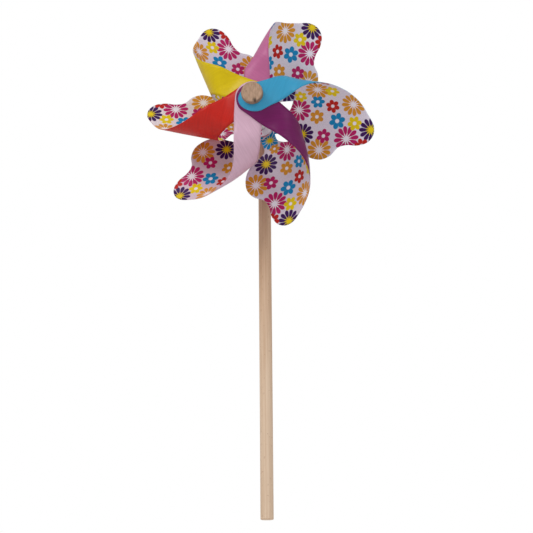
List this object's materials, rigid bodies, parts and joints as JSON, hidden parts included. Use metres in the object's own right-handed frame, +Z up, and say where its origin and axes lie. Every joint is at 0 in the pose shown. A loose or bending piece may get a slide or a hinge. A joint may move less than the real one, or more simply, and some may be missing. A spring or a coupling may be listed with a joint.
{
  "type": "whirligig",
  "caption": "Toy pinwheel: a ring of rolled, printed film blades that turns on a pin through the top of a plain round wooden stick, with a wooden disc over the hub.",
  "frame": {"origin": "centre of the flat bottom end of the stick", "axes": "+Z up along the stick, -Y the way the rotor and its disc face"},
  "size_m": [0.1818, 0.0921, 0.3946],
  "materials": {
    "stick_wood": "plain sanded softwood",
    "pin_wood": "plain wood",
    "disc_wood": "plain sanded wood",
    "bead_wood": "plain turned wood",
    "hub_plastic": "moulded",
    "pink_film": "satin film, printed inside",
    "yellow_film": "satin film, printed inside",
    "red_film": "satin film, printed inside",
    "lilac_film": "satin film, printed inside",
    "purple_film": "satin film, printed inside",
    "blue_film": "satin film, printed inside"
  },
  "bodies": {
    "base": {"stick": "stick_wood", "axle_pin": "pin_wood", "front_disc": "disc_wood", "rear_bead": "bead_wood", "front_washer": "hub_plastic"},
    "rotor": {"blade_pink": "pink_film", "blade_yellow": "yellow_film", "blade_red": "red_film", "blade_lilac": "lilac_film", "blade_purple": "purple_film", "blade_blue": "blue_film", "spacer_tube": "hub_plastic"}
  },
  "joints": [
    {"name": "rotor_spin", "type": "hinge", "parent": "base", "child": "rotor", "pos_m": [0, -0.047, 0.312], "axis": [0, -1, 0], "continuous": true}
  ]
}
